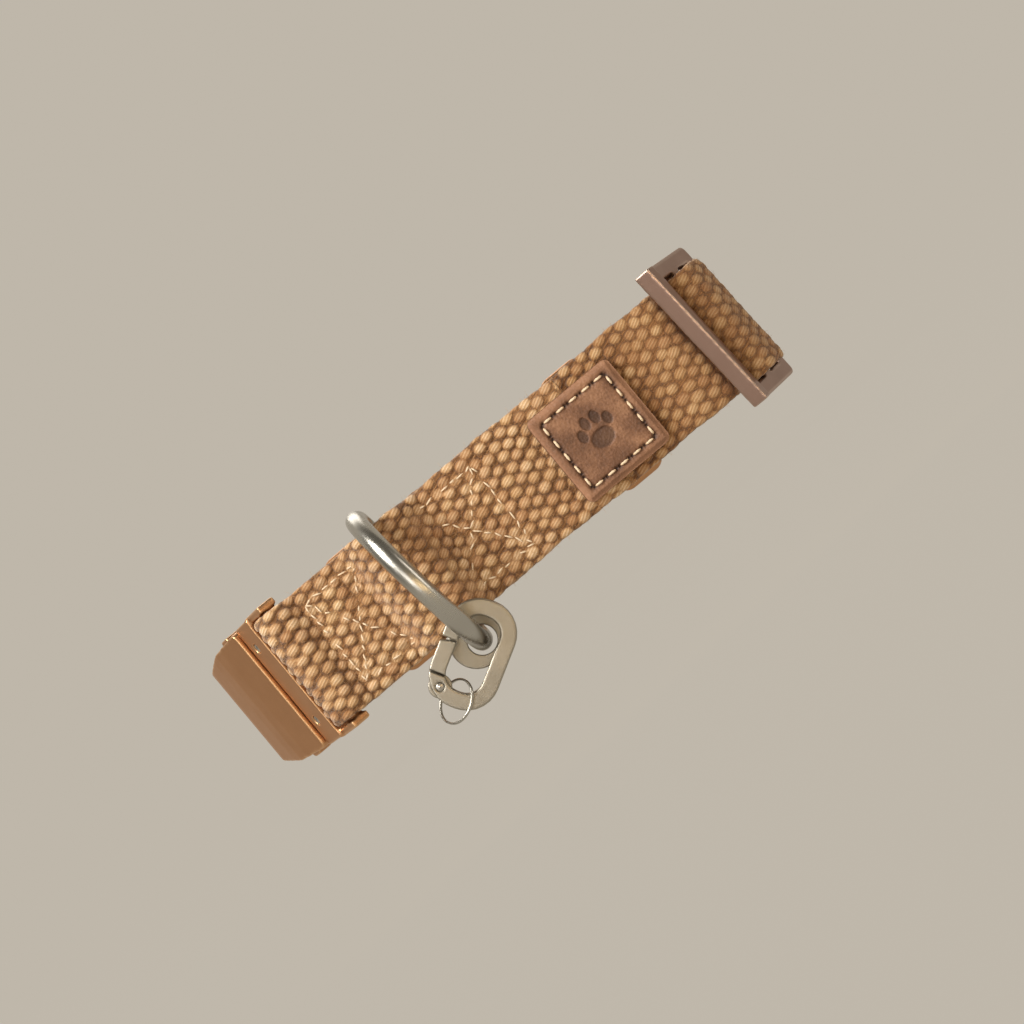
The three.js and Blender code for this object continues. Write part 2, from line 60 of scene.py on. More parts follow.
# The strap's plan, in millimetres from the middle of the collar
MM = 0.001
FRONT_Y = -36
TAIL_Y = -33.7
BACK_Y = 33
LAYER_PITCH = 2.3
HALF_WEB = 12.4
HALF_THICK = 0.5
MALE_BAR = (-43.5, -34.85)
BAR_REACH = 3
FEMALE_BAR = (-56.83, 6.2)
LOOP = {"x": -17.6, "foot": 8.6, "crest": 4.2, "rise": 4.3}
SEAM_X = 25
SLIDE = {"x": 51, "y": -37, "turn": 60, "pitch": 9, "skew": 6.3}
SPRING = {"s": 15.5, "foot": 3.1, "top": 6.3, "wire": 0.2, "turns": 4, "keep": 0.45}
BUTTON_PIN = {"s": 9.5, "z": 8.8, "radius": 0.88, "half": 2.55}
CLIP_PIN = {"along": 7.6, "across": -3.4, "radius": 0.74, "half": 1.95}
KEY_RING = {"along": 9.05, "across": 0.3, "radius": 4.1, "wire": 0.21, "turn": 40}
SLIP = {"near": 25, "far": 35, "wire": 1.1, "half": 13.9, "corner": 2}
FOLD_RADIUS = 2.4
LOOP_WIDTH, LOOP_RADIUS = 20, 2.9
PATCH = {"x": 25.2, "z": -0.9, "half": 9.7, "corner": 1.5, "back": -37.3, "thick": 1.6}
PATCH_SEWING = {"inset": 2.2, "per_side": 5, "hole": 1.15, "half_length": 0.9, "half_width": 0.24}
PRESSED = {"groove": 0.14, "hole": 0.4, "paw": 0.26}
TAG_RING = {"half": 15.75, "leg": 6.5, "wire": 1.95, "corner": 2.4}
LEASH_RING = {"half": 12.2, "leg": 9.01, "wire": 1.7, "corner": 2.4}

# The weave: plump grains in brick order, and the size of the steps that the mesh takes
GRAIN = {"along": 2.33, "across": 2.6, "half_length": 1.46, "half_width": 1.14, "height": 0.66}
LEAN = {"mean": 0.1, "spread": 0.12}
WEFT = {"mean": 0.24, "swell": 0.1, "pitch": 0.87, "slope": 0.35}
PLY_WIDTH = 0.58
FINE = 0.23
COARSE = 0.42


def middle_of(*nodes):
    boxes = [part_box(node) for node in nodes]
    low = np.min([box[0] for box in boxes], axis=0)
    high = np.max([box[1] for box in boxes], axis=0)
    return (low + high) / 2


rings_middle = middle_of("slip_ring_left", "slip_ring_right")
ORIGIN = np.array([rings_middle[0], rings_middle[1] - BACK_Y * MM, middle_of("front_strap")[2]])


def placed(points):
    """Millimetres from the collar's middle, as metres in the frame."""
    return np.asarray(points, float) * MM + ORIGIN


# Meshes
def mesh_object(name, points, faces, material, marks=None):
    mesh = bpy.data.meshes.new(name)
    mesh.from_pydata(placed(points).tolist(), [], faces)
    mesh.shade_smooth()
    for mark, values in (marks or {}).items():
        layer = mesh.attributes.new(mark, "FLOAT", "POINT")
        layer.data.foreach_set("value", np.asarray(values, np.float32))
    mesh.materials.append(material)
    piece = bpy.data.objects.new(name, mesh)
    bpy.context.scene.collection.objects.link(piece)
    return piece


def grid_faces(rows, columns, wrap_rows=False, wrap_columns=False, start=0):
    """Quads over a grid of points in row order."""
    row = np.arange(rows if wrap_rows else rows - 1)
    column = np.arange(columns if wrap_columns else columns - 1)
    r, c = np.meshgrid(row, column, indexing="ij")
    next_r, next_c = (r + 1) % rows, (c + 1) % columns
    near, far = r * columns, next_r * columns
    corners = [near + c, far + c, far + next_c, near + next_c]
    return (np.stack(corners, axis=-1).reshape(-1, 4) + start).tolist()


def tube_faces(rings, around, closed=False, start=0):
    """Quads round a tube's rings, with a flat face at each end unless the tube is a loop."""
    faces = grid_faces(rings, around, wrap_rows=closed, wrap_columns=True, start=start)
    if not closed:
        last = start + (rings - 1) * around
        faces += [list(range(start, start + around))[::-1], list(range(last, last + around))]
    return faces


def rounded_path(corners, closed=False):
    """Points along straight runs and round corners, from a list of (x, y) or (x, y, radius)."""
    points = []
    count = len(corners)
    for index, (x, y, *radius) in enumerate(corners):
        here = Vector((x, y))
        if not radius or (not closed and index in (0, count - 1)):
            points.append(here)
            continue
        before = (Vector(corners[index - 1][:2]) - here).normalized()
        after = (Vector(corners[(index + 1) % count][:2]) - here).normalized()
        half = math.acos(max(-1, min(1, before.dot(after)))) / 2
        centre = here + (before + after).normalized() * radius[0] / math.sin(half)
        start = here + before * radius[0] / math.tan(half) - centre
        sweep = math.pi - 2 * half
        side = math.copysign(1, before.x * start.y - before.y * start.x)
        steps = max(3, math.ceil(sweep / 0.12))
        for step in range(steps + 1):
            points.append(centre + Matrix.Rotation(side * sweep * step / steps, 2) @ start)
    return np.array([list(point) for point in points])


def lengths_along(points, closed=False):
    ends = np.vstack([points, points[:1]]) if closed else points
    gaps = np.linalg.norm(np.diff(ends, axis=0), axis=1)
    return ends, np.concatenate([[0], np.cumsum(gaps)])


def along_path(points, places, closed=False):
    """Positions and directions at the given lengths along a path."""
    ends, lengths = lengths_along(points, closed)
    total = lengths[-1]

    def at(place):
        place = np.mod(place, total) if closed else np.clip(place, 0, total)
        values = [np.interp(place, lengths, column) for column in ends.T]
        return np.stack(values, axis=1)

    reach = 0.35
    direction = at(places + reach) - at(places - reach)
    return at(places), direction / np.linalg.norm(direction, axis=1)[:, None]


def evenly_spaced(outline, gap=0.5):
    """Points at even gaps round a closed outline."""
    total = lengths_along(outline, True)[1][-1]
    return along_path(outline, np.arange(0, total, gap), True)[0]


def wire(name, points, radius, material, sides=20, closed=True):
    """A round wire along points in space."""
    points = np.asarray(points, float)
    count = len(points)
    if closed:
        tangents = np.roll(points, -1, axis=0) - np.roll(points, 1, axis=0)
    else:
        tangents = np.gradient(points, axis=0)
    tangents /= np.linalg.norm(tangents, axis=1)[:, None]
    side = np.cross(tangents[0], (0.3, 0.5, 0.8))
    rings = []
    for point, tangent in zip(points, tangents):
        side = side - tangent * np.dot(side, tangent)
        side /= np.linalg.norm(side)
        up = np.cross(tangent, side)
        turns = np.linspace(0, 2 * math.pi, sides, endpoint=False)
        rings.append(point + radius * (np.cos(turns)[:, None] * side + np.sin(turns)[:, None] * up))
    if closed:
        twist = nearest_turn(rings[0], rings[-1])
        faces = grid_faces(count, sides, wrap_columns=True)
        last = (count - 1) * sides
        for index in range(sides):
            a, b = last + (index + twist) % sides, last + (index + 1 + twist) % sides
            faces.append([a, index, (index + 1) % sides, b])
    else:
        faces = tube_faces(count, sides)
    return mesh_object(name, np.vstack(rings), faces, material)


def nearest_turn(first, last):
    """How many places round the last ring its nearest match to the first ring's start lies."""
    distances = np.linalg.norm(last - first[0], axis=1)
    return int(np.argmin(distances))


# Materials
def srgb(red, green, blue):
    levels = np.array([red, green, blue]) / 255
    linear = np.where(levels <= 0.04045, levels / 12.92, ((levels + 0.055) / 1.055) ** 2.4)
    return (*linear.tolist(), 1.0)


class Shader:
    """A material and short ways to add nodes to it."""

    def __init__(self, name, roughness, metallic=0.0):
        self.material = bpy.data.materials.new(name)
        self.material.use_nodes = True
        self.tree = self.material.node_tree
        self.surface = self.tree.nodes["Principled BSDF"]
        self.surface.inputs["Roughness"].default_value = roughness
        self.surface.inputs["Metallic"].default_value = metallic
        self.place = self.add("ShaderNodeTexCoord").outputs["Object"]

    def add(self, kind, inputs=None, **settings):
        node = self.tree.nodes.new(kind)
        for key, value in settings.items():
            setattr(node, key, value)
        for key, value in (inputs or {}).items():
            self.feed(node.inputs[key], value)
        return node

    def feed(self, socket, value):
        if isinstance(value, bpy.types.NodeSocket):
            self.tree.links.new(value, socket)
        else:
            socket.default_value = value

    def mark(self, name):
        return self.add("ShaderNodeAttribute", attribute_name=name).outputs["Fac"]

    def noise(self, scale, detail=3.0, stretch=None):
        place = self.place
        if stretch:
            mapping = self.add("ShaderNodeMapping", {"Vector": place, "Scale": stretch})
            place = mapping.outputs["Vector"]
        inputs = {"Vector": place, "Scale": scale, "Detail": detail}
        return self.add("ShaderNodeTexNoise", inputs).outputs["Fac"]

    def cells(self, scale):
        inputs = {"Vector": self.place, "Scale": scale}
        return self.add("ShaderNodeTexVoronoi", inputs).outputs["Distance"]

    def math(self, operation, first, second=0.0):
        node = self.add("ShaderNodeMath", {0: first, 1: second}, operation=operation)
        return node.outputs["Value"]

    def spread(self, value, low, high):
        inputs = {"Value": value, "To Min": low, "To Max": high}
        return self.add("ShaderNodeMapRange", inputs).outputs["Result"]

    def mix(self, amount, first, second, blend="MIX"):
        inputs = {"Fac": amount, "Color1": first, "Color2": second}
        return self.add("ShaderNodeMixRGB", inputs, blend_type=blend).outputs["Color"]

    def ramp(self, value, *stops):
        node = self.add("ShaderNodeValToRGB", {"Fac": value})
        elements = node.color_ramp.elements
        while len(elements) < len(stops):
            elements.new(0.5)
        for element, (position, color) in zip(elements, stops):
            element.position = position
            element.color = color
        return node.outputs["Color"]

    def bump(self, height, strength, distance):
        inputs = {"Height": height, "Strength": strength, "Distance": distance}
        node = self.add("ShaderNodeBump", inputs)
        self.feed(self.surface.inputs["Normal"], node.outputs["Normal"])

    def finish(self, color, roughness=None):
        self.feed(self.surface.inputs["Base Color"], color)
        if roughness is not None:
            self.feed(self.surface.inputs["Roughness"], roughness)
        return self.material


def webbing_material(name, tint):
    """Plied cotton with fine twisted strands: painted shade between the grains and strands, painted
    highlight on their crowns.
    """
    shader = Shader(name, 0.95)
    shader.surface.inputs["Sheen Weight"].default_value = 0.25
    shader.surface.inputs["Sheen Roughness"].default_value = 0.6
    shader.surface.inputs["Specular IOR Level"].default_value = 0.2
    painted_shading = shader.mark("painted_shading")
    blotch = shader.noise(140.0)
    fuzz = shader.noise(4200.0, 4.0)
    turn = shader.math("MULTIPLY", shader.mark("strand"), 2 * math.pi / PLY_WIDTH)
    wander = shader.math("ADD", turn, shader.math("MULTIPLY", fuzz, 4.0))
    ply = shader.math("MULTIPLY", shader.math("SINE", wander), 0.13)
    shade = shader.math("ADD", shader.math("MULTIPLY", painted_shading, 0.86), ply)
    shade = shader.math("ADD", shade, shader.spread(fuzz, -0.16, 0.2))
    # From the foot of each grain to its crown: painted shade in the gaps, painted highlight on top.
    thread = shader.ramp(
        shade,
        (0.0, srgb(104, 72, 40)),
        (0.3, srgb(150, 114, 74)),
        (0.55, srgb(190, 154, 112)),
        (0.8, srgb(218, 190, 154)),
        (1.0, srgb(244, 228, 204)),
    )
    tone = shader.mix(shader.mark("tone"), srgb(222, 200, 178), srgb(255, 248, 234))
    patchy = shader.mix(blotch, srgb(216, 198, 182), srgb(255, 255, 255))
    color = thread
    for layer in (tone, patchy, tint):
        color = shader.mix(1.0, color, layer, "MULTIPLY")
    shader.bump(shader.math("ADD", ply, shader.math("MULTIPLY", fuzz, 0.5)), 0.7, 0.00025)
    return shader.finish(color)


def thread_material():
    """Waxed sewing thread, cream, with painted shade in golden brown on each stitch's underside and ends
    and painted highlight on its top.
    """
    shader = Shader("sewing_thread", 0.7)
    shader.surface.inputs["Sheen Weight"].default_value = 0.2
    fibre = shader.noise(5200.0, 3.0)
    shade = shader.math("ADD", shader.mark("painted_shading"), shader.spread(fibre, -0.25, 0.25))
    color = shader.ramp(
        shade,
        (0.0, srgb(150, 104, 62)),
        (0.35, srgb(206, 168, 124)),
        (1.0, srgb(238, 218, 188)),
    )
    shader.bump(fibre, 0.5, 0.00012)
    return shader.finish(color)


def leather_material():
    """Tanned leather: mottled and finely pebbled, paler along its worn rim, darker in its needle holes,
    groove and paw print, which is painted shade in these hollows together with the pressed leather's own
    darker tone.
    """
    shader = Shader("tan_leather", 0.62)
    mottle = shader.noise(230.0, 5.0)
    fine = shader.noise(2600.0, 4.0)
    pebble = shader.cells(1700.0)
    broad = shader.math("MULTIPLY", mottle, 0.8)
    shade = shader.math("ADD", broad, shader.math("MULTIPLY", fine, 0.3))
    hide = shader.ramp(
        shade,
        (0.3, srgb(78, 50, 32)),
        (0.52, srgb(118, 80, 55)),
        (0.75, srgb(158, 115, 84)),
    )
    rim = shader.math("MULTIPLY", shader.mark("edge"), shader.spread(mottle, 0.45, 1.0))
    worn = shader.mix(rim, hide, srgb(162, 118, 88))
    # Darkest in the needle holes, less in the paw print and groove: painted shade in the hollows, with
    # pressed leather's own darker tone.
    color = shader.mix(shader.mark("hollow"), worn, srgb(48, 26, 14))
    shader.bump(shader.math("ADD", pebble, fine), 0.5, 0.0002)
    return shader.finish(color, shader.spread(fine, 0.5, 0.75))


def metal_material(name, color, worn, roughness):
    """Satin plated metal: faint tumbling marks, and paler, smoother wear along its edges."""
    shader = Shader(name, roughness, 1.0)
    cloud = shader.noise(160.0, 4.0)
    grain = shader.noise(3800.0, 2.0)
    scratches = shader.noise(900.0, 2.0, (1.0, 1.0, 9.0))
    dull = [level * 0.78 for level in color]
    body = shader.mix(shader.spread(cloud, 0.0, 0.45), srgb(*color), srgb(*dull))
    wear = shader.math("MULTIPLY", shader.mark("edge"), shader.spread(cloud, 0.6, 1.2))
    shade = shader.mix(wear, body, srgb(*worn))
    shader.bump(shader.math("ADD", grain, scratches), 0.12, 0.00012)
    marks = shader.math("ADD", cloud, shader.math("MULTIPLY", scratches, 0.5))
    gloss = shader.spread(marks, 0.0, 0.18)
    return shader.finish(shade, shader.math("ADD", gloss, roughness - 0.08))


WEBBING = webbing_material("cotton_webbing", srgb(255, 255, 255))
# A darker copy of the webbing: painted shade for the adjuster strap on the right, which lies in shade.
SHADED_WEBBING = webbing_material("shaded_webbing", srgb(226, 216, 202))
THREAD = thread_material()
LEATHER = leather_material()
ROSE_GOLD = metal_material("rose_gold", (204, 152, 108), (246, 206, 156), 0.36)
NICKEL = metal_material("champagne_nickel", (192, 188, 178), (244, 240, 230), 0.24)
BRONZE = metal_material("pink_bronze", (172, 142, 128), (248, 228, 208), 0.32)
BRASS = metal_material("antique_brass", (156, 150, 138), (226, 214, 190), 0.36)
STEEL = metal_material("steel", (196, 190, 180), (236, 232, 224), 0.28)


# Woven strap
def smoothstep(value, low, high):
    share = np.clip((value - low) / (high - low), 0, 1)
    return share * share * (3 - 2 * share)


def woven(s, z, pitch, count, seed):
    """Height, tone and strand place of the weave at length s and height z, both flat arrays.

    Each grain is a plump ellipsoid, a little out of place; the highest one at a point shows.
    """
    table = np.random.RandomState(seed).uniform(-1, 1, (6, count + 8, 32))
    height = np.zeros_like(s)
    tone = np.full_like(s, 0.5)
    strand = np.zeros_like(s)
    column = np.floor(s / pitch).astype(int)
    for near_column in (-1, 0, 1, 2):
        i = column + near_column
        shift = 0.5 * np.mod(i, 2)
        row = np.round(z / GRAIN["across"] - shift).astype(int)
        for near_row in (-1, 0, 1):
            j = row + near_row
            dx, dz, big, lean, lit, deep = table[:, np.mod(i, count), np.mod(j, 32)]
            ds = s - (i + 0.16 * dx) * pitch
            dn = z - (j + shift + 0.1 * dz) * GRAIN["across"]
            slope = LEAN["mean"] + LEAN["spread"] * lean
            along, across = ds + slope * dn, dn - slope * ds
            size = 1 + 0.1 * big
            end = along / (GRAIN["half_length"] * size)
            flank = across / (GRAIN["half_width"] * size)
            grain = (1 + 0.16 * deep) * np.sqrt(np.clip(1 - (end**2 + flank**2), 0, 1))
            top = grain > height
            height = np.where(top, grain, height)
            tone = np.where(top, 0.5 + 0.5 * lit, tone)
            strand = np.where(top, across - 0.34 * along + dx, strand)
    weft_place = z - WEFT["slope"] * s
    weft = WEFT["mean"] + WEFT["swell"] * np.sin(2 * math.pi * weft_place / WEFT["pitch"])
    under = weft > height
    height = np.where(under, weft, height)
    tone = np.where(under, 0.45, tone)
    return height, tone, np.where(under, weft_place, strand)


def skewed(points):
    """The slide hangs a little crooked on the strap, and the webbing near it follows."""
    turn = math.radians(SLIDE["turn"])
    along = np.array([math.cos(turn), math.sin(turn)])
    s = (points[:, :2] - (SLIDE["x"], SLIDE["y"])) @ along
    mixed = smoothstep(s, -6, 0)[:, None]
    way = (1 - mixed) * np.array([1.0, 0.0]) + mixed * along
    way /= np.linalg.norm(way, axis=1)[:, None]
    weight = smoothstep(points[:, 0], 41, 47) * (1 - smoothstep(points[:, 1], -14, 8))
    shift = -math.tan(math.radians(SLIDE["skew"])) * weight * points[:, 2]
    moved = points.copy()
    moved[:, :2] += way * shift[:, None]
    return moved


def at_slide(s, n, *radius):
    turn = math.radians(SLIDE["turn"])
    x = SLIDE["x"] + s * math.cos(turn) + n * math.sin(turn)
    y = SLIDE["y"] + s * math.sin(turn) - n * math.cos(turn)
    return (x, y, *radius)


def stretches(total, fine):
    """Lengths along a strap, close together inside the fine stretch."""
    first, last = fine
    return np.unique(np.concatenate([
        np.arange(0, first, COARSE),
        np.arange(first, last, FINE),
        np.arange(last, total, COARSE),
        [total],
    ]))


def across_and_back(half_width):
    """Places across the outer face and back over the inner one, from -1 to 1, and each one's face."""
    across = np.sin(np.linspace(-1, 1, round(2 * half_width / FINE)) * math.pi / 2 * 0.98)
    across = 0.82 * np.linspace(-1, 1, len(across)) + 0.18 * across / across[-1]
    back = across[::-2]
    width = np.concatenate([across, back[(back < across[-1]) & (back > across[0])]])
    face = np.concatenate([np.ones(len(across)), -np.ones(len(width) - len(across))])
    return width, face


def thickness_at(u, height):
    """From the strap's mid plane to its surface, thinning towards the rounded edges."""
    rim = 1 - np.abs(u) ** 14
    body = HALF_THICK * np.sqrt(np.clip(rim, 0, 1)) - 0.2
    return body + GRAIN["height"] * height * np.sqrt(np.clip(rim + 0.12, 0, 1))


def strap(
    name,
    corners,
    seed,
    closed=False,
    fine=(0, 0),
    pressed=None,
    half_width=HALF_WEB,
    material=WEBBING,
):
    """A woven ribbon along a path in plan. Its outer face is on the right of the path."""
    path = rounded_path(corners, closed)
    total = lengths_along(path, closed)[1][-1]
    places = stretches(total, fine)
    if closed:
        places = places[:-1]
    centre, way = along_path(path, places, closed)
    out = np.stack([way[:, 1], -way[:, 0]], axis=1)

    columns = 2 * round(total / (2 * GRAIN["along"]))
    pitch = total / columns
    width, face = across_and_back(half_width)
    s, u = np.meshgrid(places, width, indexing="ij")
    side = np.broadcast_to(face, s.shape)

    z = u * half_width + (0.14 * np.sin(s * 0.21 + seed) + 0.1 * np.sin(s * 0.57)) * np.abs(u)
    weave_s = s + (side < 0) * pitch / 2
    weave = woven(weave_s.ravel(), z.ravel(), pitch, columns, seed)
    height, tone, strand = (values.reshape(s.shape) for values in weave)
    press = np.ones_like(s) if pressed is None else pressed(centre, s, z, side)
    offset = side * thickness_at(u, height * press)
    z = z + np.sign(u) * 0.22 * np.abs(u) ** 20 * (height - 0.5)

    points = np.empty((*s.shape, 3))
    points[..., :2] = centre[:, None, :] + out[:, None, :] * offset[..., None]
    points[..., 2] = z
    rows, around = s.shape
    points = points.reshape(-1, 3)
    faces = tube_faces(rows, around, closed)
    # Painted shade in the gaps between grains and painted highlight on their crowns, fainter where the
    # weave is pressed flat.
    painted_shading = np.clip(1 - (1 - height) * (0.35 + 0.65 * press), 0, 1)
    marks = {"painted_shading": painted_shading.ravel(), "tone": tone.ravel(), "strand": strand.ravel()}
    outward = np.zeros((rows, around, 3))
    outward[..., :2] = out[:, None, :] * side[..., None]
    fibres = loose_fibres(points, outward.reshape(-1, 3), seed, fine != (0, 0))
    points, faces, marks = with_fibres(points, faces, marks, fibres)
    return mesh_object(name, skewed(points), faces, material, marks)


def flattened_by_slide(centre, s, z, side):
    """The weave is pulled flat and tight towards the slide and over it."""
    x = np.broadcast_to(centre[:, :1], s.shape)
    in_front = np.broadcast_to(centre[:, 1:], s.shape) < -20
    return np.where(in_front, 1 - 0.5 * smoothstep(x, 30, 44), 1)


def loose_fibres(points, outward, seed, many):
    """Short curved hairs that stand off the cloth, as rows of points."""
    random = np.random.RandomState(seed + 100)
    count = 4200 if many else 1200
    chosen = random.choice(len(points), count)
    root, up = points[chosen], outward[chosen]
    drift = random.normal(size=(count, 3))
    drift -= up * np.sum(drift * up, axis=1)[:, None]
    drift /= np.linalg.norm(drift, axis=1)[:, None]
    length = random.uniform(0.5, 1.5, (count, 1))
    rows = []
    for t in (0, 0.35, 0.7, 1.0):
        rows.append(root + drift * length * t + up * length * 0.28 * math.sin(2.6 * t))
    return np.stack(rows, axis=1), np.cross(drift, up)


def with_fibres(points, faces, marks, fibres):
    """The strap's mesh with each hair added as a thin tapering strip."""
    rows, flat = fibres
    count, steps = rows.shape[:2]
    half = 0.016 * np.array([1, 0.9, 0.7, 0.25])[None, :, None]
    left, right = rows - flat[:, None] * half, rows + flat[:, None] * half
    added = np.stack([left, right], axis=2).reshape(-1, 3)
    start = len(points) + np.arange(count)[:, None] * 2 * steps + 2 * np.arange(steps - 1)[None]
    quads = np.stack([start, start + 1, start + 3, start + 2], axis=-1).reshape(-1, 4)
    # The hairs take the pale end of the webbing's painted shading: painted highlight.
    filler = {"painted_shading": 0.85, "tone": 0.7, "strand": 0.1}
    for mark, value in filler.items():
        marks[mark] = np.concatenate([marks[mark], np.full(len(added), value)])
    return np.vstack([points, added]), faces + quads.tolist(), marks


# Stitching
BOXES = [(-37.2, -25.2), (-11.8, 3.0)]
BOX_HALF = 9.2


def box_lines():
    """The box and cross sewn through both layers of the strap, as lines in x and z."""
    lines = []
    for left, right in BOXES:
        low, high = -BOX_HALF, BOX_HALF
        lines += [((left, low), (right, low)), ((left, high), (right, high))]
        lines += [((left, low), (left, high)), ((right, low), (right, high))]
        lines += [((left, low), (right, high)), ((left, high), (right, low))]
    return lines


def line_distance(x, z, line):
    (x0, z0), (x1, z1) = line
    dx, dz = x1 - x0, z1 - z0
    share = np.clip(((x - x0) * dx + (z - z0) * dz) / (dx * dx + dz * dz), 0, 1)
    return np.hypot(x - x0 - share * dx, z - z0 - share * dz)


def pressed_by_stitches(centre, s, z, side):
    """The weave lies lower along the sewn lines and under the leather patch."""
    x = np.broadcast_to(centre[:, :1], s.shape)
    front = (np.broadcast_to(centre[:, 1:], s.shape) < -35) & (side > 0)
    nearest = np.min([line_distance(x, z, line) for line in box_lines()], axis=0)
    sewn = 0.45 + 0.55 * smoothstep(nearest, 0.3, 1.4)
    under_patch = 1 - 0.4 * smoothstep(x, PATCH["x"] - 11, PATCH["x"] - 9)
    return np.where(front, sewn * under_patch, 1)


def stitched(name, stitches, material):
    """One plump twisted stitch for each (middle, direction, outward, half length, half width)."""
    around, along = 10, 9
    turns = np.linspace(0, 2 * math.pi, around, endpoint=False)
    places = np.linspace(-1, 1, along)
    points, faces, painted_shading = [], [], []
    for middle, way, out, half_length, half_width in stitches:
        middle, way, out = (np.asarray(vector, float) for vector in (middle, way, out))
        way = way / np.linalg.norm(way)
        wide = np.cross(way, out)
        start = len(points) * around
        for t in places:
            swell = math.sqrt(max(0.06, 1 - abs(t) ** 3.2))
            twist = 1 + 0.12 * np.sin(2 * turns + 7 * t)
            arch = out * 0.22 * (1 - t * t)
            ring = wide * np.cos(turns)[:, None] + 0.8 * out * np.sin(turns)[:, None]
            ring *= (half_width * swell * twist)[:, None]
            points.append(middle + way * half_length * t + arch + ring)
            # Paler on the outward side, darker underneath and at the ends: painted highlight and painted
            # shade.
            painted_shading.append(np.clip(0.55 + 0.4 * np.sin(turns) * swell - 0.4 * abs(t) ** 4, 0, 1))
        faces += tube_faces(along, around, start=start)
    marks = {"painted_shading": np.concatenate(painted_shading)}
    return mesh_object(name, np.vstack(points), faces, material, marks)


def stitches_on_line(line, y, pitch, half_length, half_width):
    """A row of stitches with a few left out and the rest a little out of line."""
    (x0, z0), (x1, z1) = line
    length = math.hypot(x1 - x0, z1 - z0)
    count = max(1, round(length / pitch))
    row = []
    for index in range(count):
        share = (index + 0.5) / count
        if RANDOM.uniform() < 0.12:
            continue
        jitter = RANDOM.uniform(-0.1, 0.1, 3)
        x = x0 + share * (x1 - x0) + jitter[0]
        z = z0 + share * (z1 - z0) + jitter[0]
        middle = (x, y + 2 * jitter[1], z)
        turn = 5 * jitter[2]
        way = (x1 - x0 - turn * (z1 - z0), 0, z1 - z0 + turn * (x1 - x0))
        row.append((middle, way, (0, -1, 0), half_length * (1 + 3 * jitter[1]), half_width))
    return row


def make_strap_stitches():
    stitches = []
    for line in box_lines():
        stitches += stitches_on_line(line, FRONT_Y - 0.74, 1.9, 0.76, 0.16)
    return stitched("strap_stitching", stitches, THREAD)


# Leather patch
def paw_depth(x, z):
    """How deep a plain paw print is pressed at each point, from 0 to 1."""
    pads = [(0, -1.5, 2.5, 1.9)]
    for side in (-1, 1):
        pads += [(side * 2.9, 0.9, 0.95, 1.35), (side * 1.1, 2.5, 0.95, 1.4)]
    depth = np.zeros_like(x)
    for px, pz, wide, tall in pads:
        reach = np.hypot((x - px) / wide, (z - pz) / tall)
        depth = np.maximum(depth, 1 - smoothstep(reach, 0.82, 1.08))
    return depth


def patch_stitch_places():
    """Middles and directions of the stitches along each side of the patch."""
    run = PATCH["half"] - PATCH_SEWING["inset"]
    count = PATCH_SEWING["per_side"]
    places = []
    for turn in range(4):
        way = math.cos(turn * math.pi / 2), math.sin(turn * math.pi / 2)
        for index in range(count):
            along = (index - (count - 1) / 2) * 2 * run / count
            x = along * way[0] + run * way[1]
            z = along * way[1] - run * way[0]
            places.append((x, z, *way))
    return places


def bell(value, width):
    """1 where the value is zero, falling smoothly away over about the given width."""
    return np.exp(-((value / width) ** 2))


def rounded_square(x, z):
    """A square grid's points, drawn in so that the patch's corners are round."""
    corner = PATCH["corner"]
    inner = PATCH["half"] - corner
    cx = np.clip((np.abs(x) - inner) / corner, 0, 1)
    cz = np.clip((np.abs(z) - inner) / corner, 0, 1)
    reach_x = np.minimum(np.abs(x), inner) + corner * cx * np.sqrt(1 - cz * cz / 2)
    reach_z = np.minimum(np.abs(z), inner) + corner * cz * np.sqrt(1 - cx * cx / 2)
    return np.sign(x) * reach_x, np.sign(z) * reach_z


def hole_depth(x, z):
    """How deep the needle holes at both ends of each stitch are, from 0 to 1."""
    nearest = np.full_like(x, 2 * PATCH["half"])
    for px, pz, wx, wz in patch_stitch_places():
        for end in (-PATCH_SEWING["hole"], PATCH_SEWING["hole"]):
            nearest = np.minimum(nearest, np.hypot(x - px - end * wx, z - pz - end * wz))
    return bell(nearest, 0.36)


def rim_of_grid(steps):
    """Indices round the outside of a square grid of points."""
    last = steps - 1
    rim = list(range(steps))
    rim += [row * steps + last for row in range(1, steps)]
    rim += [last * steps + column for column in range(last - 1, -1, -1)]
    rim += [row * steps for row in range(last - 1, 0, -1)]
    return rim


def patch_shell(front, steps):
    """The front's grid with a slightly bulging edge and a flat back: points and faces."""
    rim = rim_of_grid(steps)
    rings = [front]
    for level, bulge in ((0.4, 1.004), (0.0, 0.99)):
        edge = front[rim] * (bulge, 1, bulge)
        edge[:, 1] = PATCH["back"] - PATCH["thick"] * level
        rings.append(edge)
    count, first = len(rim), len(front)
    faces = grid_faces(steps, steps)
    for k in range(count):
        following = (k + 1) % count
        middle, next_middle = first + k, first + following
        faces.append([middle, next_middle, rim[following], rim[k]])
        faces.append([middle + count, next_middle + count, next_middle, middle])
    faces.append(list(range(first + count, first + 2 * count)))
    return np.vstack(rings), faces


